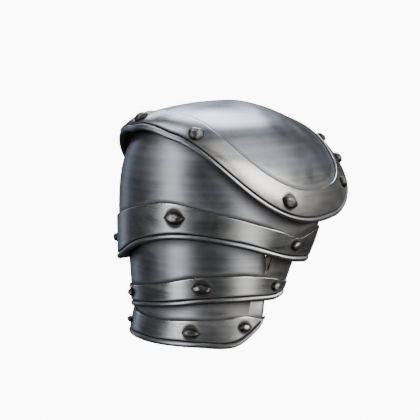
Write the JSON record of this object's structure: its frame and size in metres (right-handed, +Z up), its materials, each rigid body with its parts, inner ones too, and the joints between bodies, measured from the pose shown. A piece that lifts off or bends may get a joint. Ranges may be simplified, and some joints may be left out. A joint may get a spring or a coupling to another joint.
{
  "type": "pauldron",
  "caption": "Domed steel shoulder plate over overlapping arm plates, with raised border bands, turned rims and forged rivets; worn over a shoulder and upper arm.",
  "frame": {"origin": "inside of the cop's crown, on the axis of the arm, where the piece sits on the shoulder", "axes": "+Z up along the arm, -Y outwards from the body, +Y to the neck, +X to the front edge with the lowest corner of the cop"},
  "size_m": [0.2065, 0.2023, 0.2146],
  "materials": {
    "plate_steel": "brushed, darkened in the hollows",
    "band_steel": "brushed, with bright cut edges",
    "rivet_iron": "forged, dark and rubbed bright on the crown",
    "strap_leather": "oiled, matt"
  },
  "bodies": {
    "root": {"cop_plate": "plate_steel", "cop_border": "band_steel", "upper_lame_plate": "plate_steel", "upper_lame_border": "band_steel", "middle_lame_plate": "plate_steel", "middle_lame_border": "band_steel", "lower_lame_plate": "plate_steel", "lower_lame_border": "band_steel", "leather_front": "strap_leather", "leather_centre": "strap_leather", "leather_rear": "strap_leather", "cop_rivet_1": "rivet_iron", "cop_rivet_2": "rivet_iron", "cop_rivet_3": "rivet_iron", "cop_rivet_4": "rivet_iron", "cop_rivet_5": "rivet_iron", "cop_rivet_6": "rivet_iron", "cop_rivet_7": "rivet_iron", "cop_rivet_8": "rivet_iron", "cop_rivet_9": "rivet_iron", "upper_rivet_rear": "rivet_iron", "upper_rivet_centre": "rivet_iron", "upper_rivet_front": "rivet_iron", "middle_rivet_rear": "rivet_iron", "middle_rivet_centre": "rivet_iron", "middle_rivet_front": "rivet_iron", "lower_rivet_rear": "rivet_iron", "lower_rivet_centre": "rivet_iron", "lower_rivet_front": "rivet_iron"}
  },
  "joints": []
}
